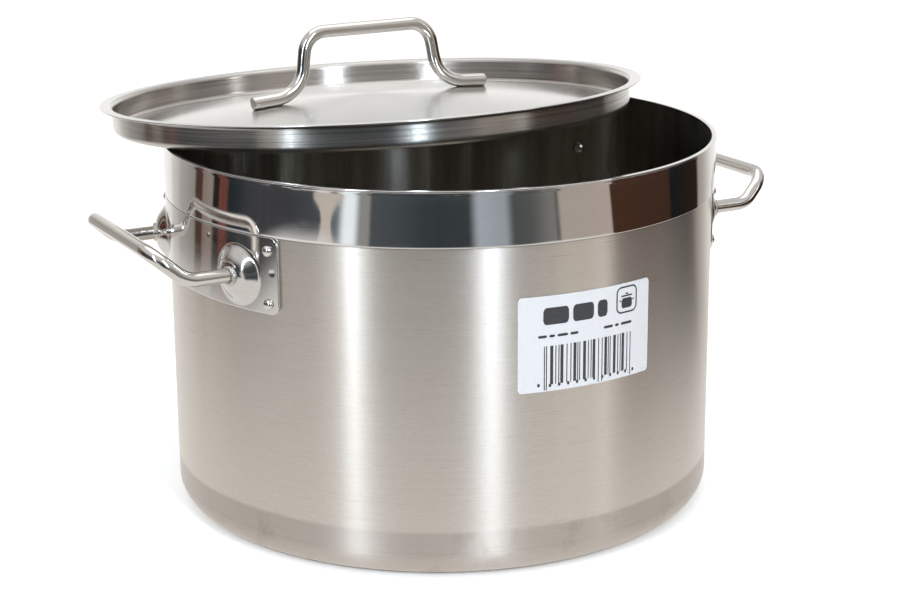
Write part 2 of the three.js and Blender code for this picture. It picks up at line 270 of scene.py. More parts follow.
def bar(name, path, side, sides=32, chamfer=0.5):
    """A round bar along the path, with chamfered flat ends. U runs along it and V round it,
    from the given side."""
    padded = [path[0], *path, path[-1]]
    tangents = [(after - before).normalized() for before, after in zip(padded, padded[2:])]
    rings = [
        (path[0], tangents[0], ROD_RADIUS - chamfer),
        (path[0] + tangents[0] * chamfer, tangents[0], ROD_RADIUS),
        *[(p, t, ROD_RADIUS) for p, t in zip(path[1:-1], tangents[1:-1])],
        (path[-1] - tangents[-1] * chamfer, tangents[-1], ROD_RADIUS),
        (path[-1], tangents[-1], ROD_RADIUS - chamfer),
    ]
    points, uvs, faces = [], [], []
    travelled = 0.0
    previous = rings[0][0]
    for centre, tangent, radius in rings:
        side = (side - tangent * side.dot(tangent)).normalized()
        up = tangent.cross(side)
        travelled += (centre - previous).length
        previous = centre
        for step in range(sides + 1):
            angle = 2 * math.pi * step / sides
            points.append(centre + (side * math.cos(angle) + up * math.sin(angle)) * radius)
            uvs.append((travelled * MM, 2 * math.pi * ROD_RADIUS * MM * step / sides))
    row = sides + 1
    for ring in range(len(rings) - 1):
        for step in range(sides):
            start = ring * row + step
            faces.append((start, start + 1, start + 1 + row, start + row))
    for ring in (0, len(rings) - 1):
        centre, tangent, radius = rings[ring]
        hub = len(points)
        points.append(centre)
        uvs.append(uvs[ring * row])
        for step in range(sides):
            faces.append((hub, ring * row + step, ring * row + step + 1))
    piece = make_piece(name, points, faces, uvs)
    face_outwards(piece.data, merge=1e-7)
    return piece


# ---- Sheets rolled to the wall: handle plates, the sticker and its print ----


def graded(length, step, fine):
    """Positions from 0 to length, close together near both ends."""
    ends = [0.0, 0.1 * fine, 0.3 * fine, 0.6 * fine, fine, 1.6 * fine]
    middle = np.arange(ends[-1] + step, length - ends[-1] - 0.5 * step, step)
    return [*ends, *middle, *[length - e for e in reversed(ends)]]


def inset_distance(across, up, half_width, half_height, corner):
    """How far inside its edge a point of a round-cornered rectangle lies."""
    qx = abs(across) - half_width + corner
    qy = abs(up) - half_height + corner
    outside = math.hypot(max(qx, 0.0), max(qy, 0.0))
    return corner - outside - min(max(qx, qy), 0.0)


def rolled_sheet(centre_angle, centre_z, width, height, corner, step, fine, outer, inner):
    """Points and faces of a round-cornered sheet on the wall, in cells of one step, and finer
    near its edges. outer and inner give the radius of its two faces from (across, up, inset)."""
    half_width, half_height = width / 2, height / 2
    rows = [z - half_height for z in graded(height, step, fine)]
    columns = [x / width * 2 - 1 for x in graded(width, step, fine)]
    points = []
    for face_radius in (outer, inner):
        for up in rows:
            into_corner = abs(up) - half_height + corner
            cut = corner - math.sqrt(corner ** 2 - into_corner ** 2) if into_corner > 0 else 0.0
            for t in columns:
                across = t * (half_width - cut)
                inset = inset_distance(across, up, half_width, half_height, corner)
                angle = centre_angle + across / PLATE_OUTER_RADIUS
                radius = face_radius(across, up, max(inset, 0.0))
                points.append(on_wall(angle, radius, centre_z + up))
    wide, high = len(columns), len(rows)
    back = wide * high
    faces = []
    for j in range(high - 1):
        for i in range(wide - 1):
            a = j * wide + i
            faces.append((a, a + 1, a + 1 + wide, a + wide))
            faces.append((back + a, back + a + wide, back + a + 1 + wide, back + a + 1))
    border = list(range(wide))
    border += [j * wide + wide - 1 for j in range(1, high)]
    border += [(high - 1) * wide + i for i in range(wide - 2, -1, -1)]
    border += [j * wide for j in range(high - 2, 0, -1)]
    for a, b in zip(border, border[1:] + border[:1]):
        faces.append((a, b, back + b, back + a))
    return points, faces


def rounded_edge(inset, rounding):
    """How far a face drops, near its edge, to round that edge off."""
    if inset >= rounding:
        return 0.0
    return rounding - math.sqrt(rounding ** 2 - (rounding - inset) ** 2)


# ---- Materials ----


class Nodes:
    """Short names for building a node tree."""

    def __init__(self, tree):
        self.tree = tree

    def add(self, kind, values=None, **settings):
        node = self.tree.nodes.new(kind)
        for key, value in settings.items():
            setattr(node, key, value)
        for key, value in (values or {}).items():
            if isinstance(value, bpy.types.NodeSocket):
                self.tree.links.new(value, node.inputs[key])
            else:
                node.inputs[key].default_value = value
        return node

    def math(self, operation, a, b=0.0, c=0.0):
        return self.add("ShaderNodeMath", {0: a, 1: b, 2: c}, operation=operation).outputs[0]

    def times(self, a, b):
        return self.math("MULTIPLY", a, b)

    def scaled(self, value, factor, offset):
        """value * factor + offset"""
        return self.math("MULTIPLY_ADD", value, factor, offset)

    def hypot(self, a, b):
        return self.math("SQRT", self.scaled(a, a, self.times(b, b)))

    def remap(self, value, from_low, from_high, to_low=0.0, to_high=1.0, smooth=False):
        kind = "SMOOTHSTEP" if smooth else "LINEAR"
        node = self.add("ShaderNodeMapRange", {
            "Value": value, "From Min": from_low, "From Max": from_high,
            "To Min": to_low, "To Max": to_high}, interpolation_type=kind)
        return node.outputs["Result"]

    def stretch(self, vector, scale):
        return self.add("ShaderNodeVectorMath", {0: vector, 1: scale},
                        operation="MULTIPLY").outputs["Vector"]

    def noise(self, vector, detail=3.0, roughness=0.55, scale=1.0):
        node = self.add("ShaderNodeTexNoise", {
            "Vector": vector, "Scale": scale, "Detail": detail, "Roughness": roughness})
        return node.outputs["Fac"]

    def mix(self, factor, *colors):
        first, second = (c if isinstance(c, bpy.types.NodeSocket) else (*c, 1.0) for c in colors)
        node = self.add("ShaderNodeMix", {0: factor, 6: first, 7: second},
                        data_type="RGBA", clamp_factor=True)
        return node.outputs[2]

    def dot(self, vector, direction):
        node = self.add("ShaderNodeVectorMath", {0: vector, 1: direction}, operation="DOT_PRODUCT")
        return node.outputs["Value"]

    def split(self, vector):
        return self.add("ShaderNodeSeparateXYZ", {0: vector}).outputs

    def join(self, x, y, z):
        return self.add("ShaderNodeCombineXYZ", {0: x, 1: y, 2: z}).outputs[0]

    def bump(self, height, distance, strength=1.0, after=None):
        values = {"Height": height, "Distance": distance, "Strength": strength}
        if after is not None:
            values["Normal"] = after
        return self.add("ShaderNodeBump", values).outputs["Normal"]


class Finish(Nodes):
    """A node material round one Principled shader, in metres of the object's own space."""

    def __init__(self, name, metallic=1.0, **constants):
        self.material = bpy.data.materials.new(name)
        self.material.use_nodes = True
        super().__init__(self.material.node_tree)
        self.shader = self.tree.nodes["Principled BSDF"]
        self.shader.inputs["Metallic"].default_value = metallic
        for socket, value in constants.items():
            self.shader.inputs[socket.replace("_", " ")].default_value = value
        self.place = self.add("ShaderNodeTexCoord").outputs["Object"]

    def grain_tangent(self):
        """The direction round +Z, for anisotropic reflections off grain that runs round the pot."""
        return self.add("ShaderNodeTangent", direction_type="RADIAL", axis="Z").outputs[0]

    def round_axis(self, pitch, length):
        """A place stretched into fine lines round +Z; pitch and length in metres."""
        return self.stretch(self.place, (1 / length, 1 / length, 1 / pitch))

    def finish(self, **sockets):
        for socket, value in sockets.items():
            self.tree.links.new(value, self.shader.inputs[socket.replace("_", " ")])
        return self.material


def brushed_wall_material():
    """Fine grain round the pot outside, a duller and darker foot, and drawn steel inside, its darker
    tone partly painted shade.
    """
    f = Finish("brushed_wall", Anisotropic=0.96, Anisotropic_Rotation=0.25)
    fine = f.noise(f.round_axis(0.0005, 0.004), detail=4, roughness=0.75)
    long_lines = f.noise(f.round_axis(0.0007, 0.05), detail=3, roughness=0.65)
    cloud = f.noise(f.stretch(f.place, (9, 9, 5)), detail=4)
    smudge = f.noise(f.stretch(f.place, (42, 42, 26)), detail=5, roughness=0.65)
    scratch = f.noise(f.round_axis(0.0008, 0.03), detail=1)
    x, y, height = f.split(f.place)
    radius = f.hypot(x, y)
    wobble = f.scaled(cloud, 0.004, -0.002)
    above_foot = f.math("SUBTRACT", f.math("ADD", height, wobble), FOOT_TOP_Z * MM)
    foot = f.remap(above_foot, -0.0015, 0.0015, 1.0, 0.0, smooth=True)
    shade = f.scaled(fine, 0.65, f.times(long_lines, 0.35))
    base = f.mix(f.remap(shade, 0.35, 0.65), (0.603, 0.553, 0.50), (0.716, 0.664, 0.608))
    base = f.mix(f.remap(cloud, 0.38, 0.68, 0.0, 0.35), base, (0.635, 0.58, 0.52))
    base = f.mix(f.remap(scratch, 0.72, 0.80, 0.0, 0.25), base, (0.72, 0.67, 0.62))
    base = f.mix(f.remap(scratch, 0.27, 0.21, 0.0, 0.45), base, (0.30, 0.26, 0.22))
    # The foot's darker tone is partly a duller finish and partly painted shade for the wall's slight
    # inward lean there.
    base = f.mix(f.times(foot, 0.28), base, (0.37, 0.31, 0.27))
    stain = f.times(f.remap(smudge, 0.56, 0.70), f.times(foot, 0.35))
    base = f.mix(stain, base, (0.34, 0.27, 0.22))
    # Painted shadow: a dark line where the wall goes under the band, standing in for the band's
    # contact shadow.
    seam, surface = BAND_BOTTOM_Z * MM, POT_RADIUS * MM
    band_shadow_paint = f.times(f.remap(height, seam - 0.0011, seam - 0.0004),
                   f.remap(radius, surface + 0.0003, surface - 0.0002))
    base = f.mix(f.times(band_shadow_paint, 0.6), base, (0.16, 0.14, 0.12))
    rough = f.scaled(long_lines, 0.05, 0.25)
    rough = f.scaled(fine, 0.09, rough)
    rough = f.scaled(foot, 0.07, rough)
    # Inside, upright marks of the drawing die run down the wall.
    side = f.math("ARCTAN2", y, x)
    drawn = f.noise(f.join(f.times(side, 14), f.times(height, 1.5), 0.0), detail=3, roughness=0.6)
    # Inside, the steel is darker than outside: partly the drawn finish, partly painted shade of the
    # pot's shaded inside.
    dark = f.mix(f.remap(drawn, 0.38, 0.68), (0.48, 0.455, 0.40), (0.66, 0.63, 0.57))
    dark = f.mix(f.remap(fine, 0.3, 0.7, 0.0, 0.3), dark, (0.42, 0.40, 0.35))
    # The inner face lies nearer the corner's centre than the middle of the sheet does.
    out = f.math("MAXIMUM", f.math("SUBTRACT", radius, (POT_RADIUS - CORNER_RADIUS) * MM), 0.0)
    down = f.math("MAXIMUM", f.math("SUBTRACT", (BOTTOM_Z + CORNER_RADIUS) * MM, height), 0.0)
    reach = f.hypot(out, down)
    middle = (CORNER_RADIUS - WALL_SHEET / 2) * MM
    inside = f.remap(reach, middle - 0.0002, middle + 0.0002, 1.0, 0.0)
    base = f.mix(inside, base, dark)
    inside_rough = f.scaled(drawn, 0.10, 0.14)
    rough = f.math("ADD", f.times(inside_rough, inside),
                   f.times(rough, f.math("SUBTRACT", 1.0, inside)))
    relief = f.times(fine, f.scaled(inside, -0.8, 1.0))
    normal = f.bump(relief, 0.00003, 0.5)
    normal = f.bump(cloud, 0.0003, 0.2, normal)
    return f.finish(Base_Color=base, Roughness=rough, Normal=normal, Tangent=f.grain_tangent())


def polished_sheet_material(name, low, high, roughness, wave, smear=0.7, crinkled_above=None):
    """Buffed steel: a mirror with fine lines round the pot, which stretch reflections upright."""
    f = Finish(name, Anisotropic=smear, Anisotropic_Rotation=0.25)
    cloud = f.noise(f.stretch(f.place, (14, 14, 30)), detail=5, roughness=0.6)
    lines = f.noise(f.round_axis(0.0006, 0.012), detail=3, roughness=0.7)
    smudge = f.noise(f.stretch(f.place, (60, 60, 140)), detail=5, roughness=0.65)
    base = f.mix(f.remap(cloud, 0.3, 0.7), low, high)
    base = f.mix(f.remap(lines, 0.5, 0.8, 0.0, 0.25), base, (0.80, 0.79, 0.77))
    rough = f.remap(smudge, 0.45, 0.75, roughness, roughness + 0.05)
    rough = f.scaled(lines, 0.04, rough)
    ripple = f.noise(f.stretch(f.place, (24, 24, 10)), detail=1)
    normal = f.bump(ripple, wave, 0.6)
    normal = f.bump(lines, 0.00001, 0.25, normal)
    if crinkled_above is not None:
        height = f.split(f.place)[2]
        edge = f.remap(height, crinkled_above, crinkled_above + 0.0012)
        crinkle = f.noise(f.stretch(f.place, (70, 70, 380)), detail=3, roughness=0.6)
        normal = f.bump(f.times(crinkle, edge), 0.0004, 0.4, normal)
    return f.finish(Base_Color=base, Roughness=rough, Normal=normal, Tangent=f.grain_tangent())


def bar_material():
    """Polished bar, with fine lines drawn along its length."""
    f = Finish("handle_bar")
    uv = f.add("ShaderNodeUVMap", uv_map="UVMap").outputs[0]
    drawn = f.noise(f.stretch(uv, (25, 2600, 1)), detail=3, roughness=0.7)
    cloud = f.noise(f.place, detail=4, scale=70)
    base = f.mix(f.remap(drawn, 0.3, 0.7), (0.54, 0.515, 0.48), (0.71, 0.685, 0.65))
    base = f.mix(f.remap(cloud, 0.4, 0.7, 0.0, 0.25), base, (0.60, 0.555, 0.49))
    rough = f.remap(drawn, 0.3, 0.8, 0.05, 0.12)
    rough = f.scaled(cloud, 0.03, rough)
    normal = f.bump(drawn, 0.00002, 0.35)
    return f.finish(Base_Color=base, Roughness=rough, Normal=normal)


def lid_frame_matrix():
    shift = math.radians(LID_SHIFT_ANGLE)
    tilt_axis = Vector((-math.sin(shift), math.cos(shift), 0))
    place = Vector((LID_SHIFT * math.cos(shift), LID_SHIFT * math.sin(shift), LID_FLANGE_Z))
    return Matrix.Translation(place) @ Matrix.Rotation(math.radians(LID_TILT), 4, tilt_axis)


LID_FRAME = lid_frame_matrix()


def lid_material():
    """Spun steel: rings round the lid's own axis. The skirt is coarser, and its darker tone, darkest
    outside, is partly painted shade.
    """
    f = Finish("satin_lid_steel", Anisotropic=0.92, Anisotropic_Rotation=0.25)
    turn = LID_FRAME.to_euler()
    local = f.add("ShaderNodeMapping", {
        "Vector": f.place, "Location": LID_FRAME.translation * MM, "Rotation": turn},
        vector_type="TEXTURE").outputs[0]
    x, y, z = f.split(local)
    radius = f.hypot(x, y)
    along = f.math("ADD", radius, z)

    def rings(pitch, length):
        vector = f.join(f.times(x, 1 / length), f.times(y, 1 / length), f.times(along, 1 / pitch))
        return f.noise(vector, detail=3, roughness=0.65)

    fine = rings(0.0005, 0.05)
    broad = rings(0.004, 0.12)
    streak = rings(0.0009, 0.16)
    cloud = f.noise(local, detail=4, scale=16)
    shade = f.scaled(fine, 0.5, f.times(broad, 0.5))
    base = f.mix(f.remap(shade, 0.32, 0.68), (0.60, 0.592, 0.57), (0.665, 0.66, 0.642))
    base = f.mix(f.remap(cloud, 0.4, 0.75, 0.0, 0.2), base, (0.60, 0.585, 0.56))
    skirt = LID_SKIRT_RADIUS * MM
    wall = f.times(f.remap(radius, skirt - 0.0033, skirt - 0.0016),
                   f.remap(radius, skirt + 0.0014, skirt + 0.0006))
    # Painted shade, in part: both faces of the skirt are darker than the top, the outside more,
    # besides their coarser streaks.
    inner_skirt_tone_and_shade = f.mix(f.remap(streak, 0.32, 0.68), (0.42, 0.385, 0.35), (0.60, 0.56, 0.52))
    outer_skirt_tone_and_shade = f.mix(f.remap(streak, 0.34, 0.66), (0.35, 0.335, 0.315), (0.60, 0.58, 0.55))
    outside = f.remap(radius, skirt - 0.0006, skirt - 0.0003)
    base = f.mix(f.times(wall, 0.9), base, f.mix(outside, inner_skirt_tone_and_shade, outer_skirt_tone_and_shade))
    rough = f.scaled(broad, 0.06, 0.17)
    rough = f.scaled(fine, 0.04, rough)
    rough = f.scaled(f.times(wall, streak), 0.08, rough)
    rough = f.scaled(wall, -0.03, rough)
    normal = f.bump(fine, 0.00001, 0.3)
    # The grain runs round the lid's axis, turned from the lid's own frame into the row's.
    tangent = f.add("ShaderNodeMapping", {
        "Vector": f.join(f.times(y, -1.0), x, 0.0), "Rotation": turn},
        vector_type="VECTOR").outputs[0]
    return f.finish(Base_Color=base, Roughness=rough, Normal=normal, Tangent=tangent)


def grainy_material(name, size, low, high, rough, relief, detail=4, spread=(0.35, 0.65),
                    patches=None, **constants):
    """One fine noise drives the colour, roughness and relief.
    patches adds broader ones of another tone: (size, from, to, share, tone)."""
    f = Finish(name, **constants)
    grain = f.noise(f.place, detail=detail, scale=size)
    base = f.mix(f.remap(grain, *spread), low, high)
    if patches is not None:
        patch_size, start, stop, share, tone = patches
        cloud = f.noise(f.place, scale=patch_size)
        base = f.mix(f.remap(cloud, start, stop, 0.0, share), base, tone)
    return f.finish(Base_Color=base, Roughness=f.remap(grain, 0.3, 0.7, *rough),
                    Normal=f.bump(grain, *relief))


wall_steel = brushed_wall_material()
mirror_steel = polished_sheet_material(
    "mirror_band", (0.66, 0.64, 0.62), (0.72, 0.70, 0.68), roughness=0.02, wave=0.0003,
    crinkled_above=(BAND_TOP_Z - 1.7) * MM)
plate_steel = polished_sheet_material(
    "polished_plate", (0.56, 0.535, 0.51), (0.66, 0.635, 0.61), roughness=0.06, wave=0.0003,
    smear=0.5)
rivet_steel = polished_sheet_material(
    "rivet_steel", (0.58, 0.55, 0.52), (0.72, 0.70, 0.67), roughness=0.18, wave=0.0001,
    smear=0.0)
bar_steel = bar_material()
lid_steel = lid_material()
aluminium = grainy_material(
    "cast_aluminium", 900, (0.52, 0.53, 0.54), (0.68, 0.69, 0.70), rough=(0.38, 0.6),
    relief=(0.0001, 0.5), detail=5)
weld_steel = grainy_material(
    "weld_bead", 1200, (0.44, 0.42, 0.39), (0.66, 0.64, 0.61), rough=(0.22, 0.42),
    relief=(0.00012, 0.6), patches=(260, 0.5, 0.75, 0.5, (0.50, 0.42, 0.30)))
paper = grainy_material(
    "sticker_paper", 1500, (0.465, 0.465, 0.478), (0.515, 0.515, 0.528), rough=(0.42, 0.55),
    relief=(0.00004, 0.3), spread=(0.3, 0.7), patches=(45, 0.4, 0.7, 0.25, (0.49, 0.486, 0.474)),
    metallic=0.0, Coat_Weight=0.35, Coat_Roughness=0.22)
ink = grainy_material(
    "printed_ink", 1800, (0.012, 0.012, 0.014), (0.045, 0.045, 0.05), rough=(0.35, 0.5),
    relief=(0.00003, 0.3), detail=3, spread=(0.3, 0.75), metallic=0.0)


def fit(piece, material, body, slot, *nodes):
    """Gives a piece its material and its body, and hides the CAD nodes it stands for. The slot is
    not used.
    """
    piece.data.materials.clear()
    piece.data.materials.append(material)
    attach(piece, body)
    if nodes:
        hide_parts(*nodes)


# ---- Pot ----


def build_wall():
    inner = POT_RADIUS - WALL_SHEET
    inner_corner = CORNER_RADIUS - WALL_SHEET
    lip_z = POT_HEIGHT - LIP_THICKNESS
    profile = [
        (0, BOTTOM_Z),
        *arc(POT_RADIUS - CORNER_RADIUS, BOTTOM_Z + CORNER_RADIUS, CORNER_RADIUS, -90, -19, 10),
        # The wall steps out flush with the cap, just above the cap's edge.
        (POT_RADIUS - 0.3, CAP_TOP_Z + 0.02),
        (POT_RADIUS, CAP_TOP_Z + 0.05),
        (POT_RADIUS, lip_z),
        (inner, lip_z),
        *arc(inner - inner_corner, BOTTOM_Z + CORNER_RADIUS, inner_corner, 0, -90, 14),
        (0, BOTTOM_Z + WALL_SHEET),
    ]
    piece = make_piece("pot_wall", *turned(with_support(profile)))
    fit(piece, wall_steel, "pot", "brushed_body", "pot_shell")


def build_lip():
    """The polished flange on top of the wall, over the band."""
    inner = POT_RADIUS - WALL_SHEET
    low, high = POT_HEIGHT - LIP_THICKNESS + LIP_ROUNDING, POT_HEIGHT - LIP_ROUNDING
    profile = [
        *arc(LIP_RADIUS - LIP_ROUNDING, low, LIP_ROUNDING, -90, 0, 5),
        *arc(LIP_RADIUS - LIP_ROUNDING, high, LIP_ROUNDING, 0, 90, 5),
        *arc(inner + LIP_ROUNDING, high, LIP_ROUNDING, 90, 180, 5),
        (inner, POT_HEIGHT - LIP_THICKNESS),
    ]
    piece = make_piece("rim_lip", *turned(with_support(profile, guard=0.1), closed=True))
    fit(piece, mirror_steel, "pot", "polished_band", "pot_shell")


def build_band():
    outer = BAND_OUTER_RADIUS - BAND_CROWN
    edge = 0.5 * (outer - BAND_INNER_RADIUS)
    low, high = BAND_BOTTOM_Z + edge, BAND_TOP_Z - BAND_ROLL_HEIGHT
    crowned = [(outer + BAND_CROWN * (1 - t * t), low + (high - low) * (t + 1) / 2)
               for t in np.linspace(-1, 1, 30)]
    rolled = [(outer - BAND_ROLL_DEPTH * t * t, high + BAND_ROLL_HEIGHT * t)
              for t in np.linspace(0, 1, 8)]
    profile = [
        *arc(BAND_INNER_RADIUS + edge, low, edge, -180, 0, 12),
        *crowned[1:-1],
        *rolled,
        (BAND_INNER_RADIUS, BAND_TOP_Z),
    ]
    piece = make_piece("polished_rim_band", *turned(with_support(profile), closed=True))
    fit(piece, mirror_steel, "pot", "polished_band", "rim_band")


def build_base():
    flat_radius = POT_RADIUS - CORNER_RADIUS
    underside = [(0.0, 0.0)]
    for radius in GROOVE_RADII:
        for across in np.linspace(0, 1, 9):
            depth = GROOVE_DEPTH * math.sin(math.pi * across) ** 2
            underside.append((radius + GROOVE_WIDTH * (across - 0.5), depth))
    profile = [
        *underside,
        *arc(flat_radius, CORNER_RADIUS, CORNER_RADIUS, -90, 0, 24),
        (POT_RADIUS, CAP_TOP_Z),
        (POT_RADIUS - CAP_EDGE_SHEET, CAP_TOP_Z),
        *arc(flat_radius, CORNER_RADIUS, CORNER_RADIUS - CAP_SHEET, 0, -90, 10),
        (0, CAP_SHEET),
    ]
    piece = make_piece("base_cap_shell", *turned(with_support(profile)))
    fit(piece, wall_steel, "pot", "brushed_base", "base_cap")
    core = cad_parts["base_core"]
    core.data.materials.clear()
    core.data.materials.append(aluminium)


# ---- Sticker ----

LABEL_DIRECTION = math.radians(LABEL_ANGLE - 90)


def build_label():
    points, faces = rolled_sheet(
        LABEL_DIRECTION, LABEL_CENTRE_Z, LABEL_WIDTH, LABEL_HEIGHT, LABEL_CORNER_RADIUS,
        step=1.4, fine=0.3,
        outer=lambda across, up, inset: LABEL_RADIUS - rounded_edge(inset, LABEL_EDGE_ROUNDING),
        inner=lambda across, up, inset: POT_RADIUS + 0.02)
    piece = make_piece("sticker", points, faces)
    fit(piece, paper, "pot", "label_paper", "label")


class Print:
    """Flat shapes of ink on the sticker, gathered into one piece. Places are from its centre."""

    def __init__(self):
        self.points = []
        self.faces = []

    def outline(self, places):
        start = len(self.points)
        for across, up in places:
            angle = LABEL_DIRECTION + across / POT_RADIUS
            self.points.append(on_wall(angle, LABEL_RADIUS + PRINT_LIFT, LABEL_CENTRE_Z + up))
        return start

    def strip(self, left, right):
        """Quads between two rows of points."""
        first = self.outline(left)
        second = self.outline(right)
        for i in range(len(left) - 1):
            self.faces.append((first + i, first + i + 1, second + i + 1, second + i))

    def block(self, across, up, width, height, corner=0.0):
        """A filled rectangle with round corners, built from upright slices."""
        half = height / 2
        steps = max(2, math.ceil(width / 0.7))
        lower, upper = [], []
        for i in range(steps + 1):
            x = -width / 2 + width * i / steps
            into = max(abs(x) - width / 2 + corner, 0.0)
            cut = corner - math.sqrt(max(corner ** 2 - into ** 2, 0.0))
            lower.append((across + x, up - half + cut))
            upper.append((across + x, up + half - cut))
        self.strip(lower, upper)

    def frame(self, across, up, size, corner, line):
        """A round-cornered square outline: four arcs joined by four straight lines."""
        middle = (size - line) / 2
        straight = size - 2 * corner
        for side in (-1, 1):
            self.block(across + side * middle, up, line, straight)
            self.block(across, up + side * middle, straight, line)
        reach = size / 2 - corner
        for quarter, (sx, sy) in enumerate(((1, 1), (-1, 1), (-1, -1), (1, -1))):
            angles = np.radians(np.linspace(90 * quarter, 90 * quarter + 90, 9))
            rings = [[(across + sx * reach + radius * math.cos(a),
                       up + sy * reach + radius * math.sin(a)) for a in angles]
                     for radius in (corner - line, corner)]
            self.strip(*rings)


def build_print():
    sheet = Print()
    # A bold mark of plain blocks where a name would stand.
    for across, width in ((-20.5, 15.0), (-4.0, 13.0), (8.2, 6.5)):
        sheet.block(across, 15.2, width, 9.4, 2.2)
    # A cooking-pot pictogram in a round-cornered frame: body, lid, knob and two handles.
    middle = 25.0
    sheet.frame(middle, 17.3, 15.0, 3.6, 0.9)
    sheet.block(middle, 15.4, 7.6, 5.6, 1.2)
    sheet.block(middle, 19.4, 8.6, 0.9, 0.4)
    sheet.block(middle, 20.6, 2.2, 0.9, 0.4)
    for side in (-1, 1):
        sheet.block(middle + side * 4.7, 16.8, 1.4, 1.1, 0.4)
    # Two lines of fine print, as plain dashes.
    for start, widths in ((-31.0, (5.2, 3.4, 6.4, 5.0)), (9.0, (6.4, 2.8, 8.0))):
        edge = start
        for width in widths:
            sheet.block(edge + width / 2, 4.2, width, 1.5, 0.6)
            edge += width + 1.3
    # Bars of one, two or three units, from a plain formula. A few are longer.
    unit = 0.6
    bars_top = -1.2
    edge = -27.5
    count = 0
    while edge < 28.5:
        bar_width = unit * (1 + (count * count + 2 * count) % 3)
        space = unit * (1 + (count * 5 + count // 3) % 3)
        is_long = count in (0, 1, 15, 16) or edge > 26.5
        height = 24.5 if is_long else 21.5
        sheet.block(edge + bar_width / 2, bars_top - height / 2, bar_width, height)
        edge += bar_width + space
        count += 1
    # Short ticks in place of figures: one to the left of the bars, and a row under them.
    sheet.block(-30.5, -22.6, 1.5, 2.0, 0.5)
    for index in range(1, 12):
        sheet.block(-29.3 + 5.4 * index, -23.2, 1.5, 2.0, 0.5)
    mesh = bpy.data.meshes.new("sticker_print")
    mesh.from_pydata([Vector(p) * MM for p in sheet.points], [], sheet.faces)
    fit(new_object("sticker_print", mesh), ink, "pot", "label_paper")


# ---- Side handles ----


def boss_rise(distance):
    """Height of the pressed boss at a distance from its middle."""
    if distance >= BOSS_FOOT_RADIUS:
        return 0.0
    t = min((BOSS_FOOT_RADIUS - distance) / (BOSS_FOOT_RADIUS - BOSS_CROWN_RADIUS), 1.0)
    # The offset eases the dome into the plate with a fillet.
    eased = t * t * (1 + BOSS_FILLET) / (t + BOSS_FILLET)
    return BOSS_HEIGHT * math.sin(math.pi / 2 * eased)


# Spot-weld dimples, as degrees from the handle's centre plane and height.
SPOT_WELDS = [(side * angle, z) for side in (-1, 1) for angle, z in ((28.4, 166.0), (10.8, 179.0))]
SPOT_RADIUS = 1.5
SPOT_DEPTH = 0.22


def plate_radius(across, up, inset):
    z = PLATE_CENTRE_Z + up
    radius = PLATE_OUTER_RADIUS - rounded_edge(inset, PLATE_EDGE_ROUNDING)
    for side in (-1, 1):
        boss_across = side * math.radians(BOSS_ANGLE) * PLATE_OUTER_RADIUS
        radius += boss_rise(math.hypot(across - boss_across, z - BOSS_Z))
    for angle, spot_z in SPOT_WELDS:
        spot_across = math.radians(angle) * PLATE_OUTER_RADIUS
        distance = math.hypot(across - spot_across, z - spot_z)
        if distance < SPOT_RADIUS:
            radius -= SPOT_DEPTH * math.cos(math.pi / 2 * distance / SPOT_RADIUS)
    return radius


def build_plate(side_name, turn):
    width = 2 * math.radians(PLATE_HALF_ANGLE) * PLATE_OUTER_RADIUS
    points, faces = rolled_sheet(
        math.radians(turn), PLATE_CENTRE_Z, width, PLATE_TOP_Z - PLATE_BOTTOM_Z,
        PLATE_CORNER_RADIUS, step=0.7, fine=0.5,
        outer=plate_radius, inner=lambda across, up, inset: PLATE_INNER_RADIUS)
    piece = make_piece(f"handle_plate_skin_{side_name}", points, faces)
    fit(piece, plate_steel, "pot", "polished_plate", f"handle_plate_{side_name}")


def build_grip(side_name, turn):
    corners = [
        (GRIP_ROOT_REACH, -GRIP_LEG_OFFSET, BOSS_Z),
        (GRIP_BEND_REACH, -GRIP_LEG_OFFSET, BOSS_Z),
        (GRIP_REACH, -GRIP_CORNER_OFFSET, GRIP_Z),
        (GRIP_REACH, GRIP_CORNER_OFFSET, GRIP_Z),
        (GRIP_BEND_REACH, GRIP_LEG_OFFSET, BOSS_Z),
        (GRIP_ROOT_REACH, GRIP_LEG_OFFSET, BOSS_Z),
    ]
    radii = [GRIP_BEND_RADIUS, GRIP_CORNER_RADIUS, GRIP_CORNER_RADIUS, GRIP_BEND_RADIUS]
    spin = Matrix.Rotation(math.radians(turn), 3, "Z")
    path = [spin @ p for p in bent_path(corners, radii)]
    piece = bar(f"grip_{side_name}", path, side=Vector((0, 0, -1)))
    fit(piece, bar_steel, "pot", "handle_rod", f"side_handle_{side_name}")


def build_collar(place, turn, side):
    """A ring of weld with small overlapping ripples."""
    bead = COLLAR_RADIUS - COLLAR_BEAD_RADIUS
    root = -0.4
    profile = [
        (COLLAR_BORE_RADIUS, 0.2),
        (COLLAR_BORE_RADIUS + 0.5, 0.95 * COLLAR_HEIGHT),
        *arc(bead, 0.4 * COLLAR_HEIGHT, COLLAR_BEAD_RADIUS, 85, 0, 7),
        (COLLAR_RADIUS + 0.1, root),
        (COLLAR_BORE_RADIUS, root),
    ]
    points, faces = turned(profile, segments=96, closed=True)
    rippled = []
    for x, y, z in points:
        angle = math.atan2(y, x)
        ripple = 1 + 0.022 * math.sin(COLLAR_RIPPLES * angle) + 0.012 * math.sin(7 * angle + 1)
        swell = 1 + 0.05 * math.sin(COLLAR_RIPPLES * angle + 0.6)
        rippled.append((x * ripple, y * ripple, z * swell))
    seat = outward_matrix(turn + side * BOSS_ANGLE, PLATE_OUTER_RADIUS + BOSS_HEIGHT, BOSS_Z)
    piece = make_piece(f"weld_ring_{place}", placed(rippled, seat), faces, sharp_angle=60)
    fit(piece, weld_steel, "pot", "weld_bead", f"weld_collar_{place}")


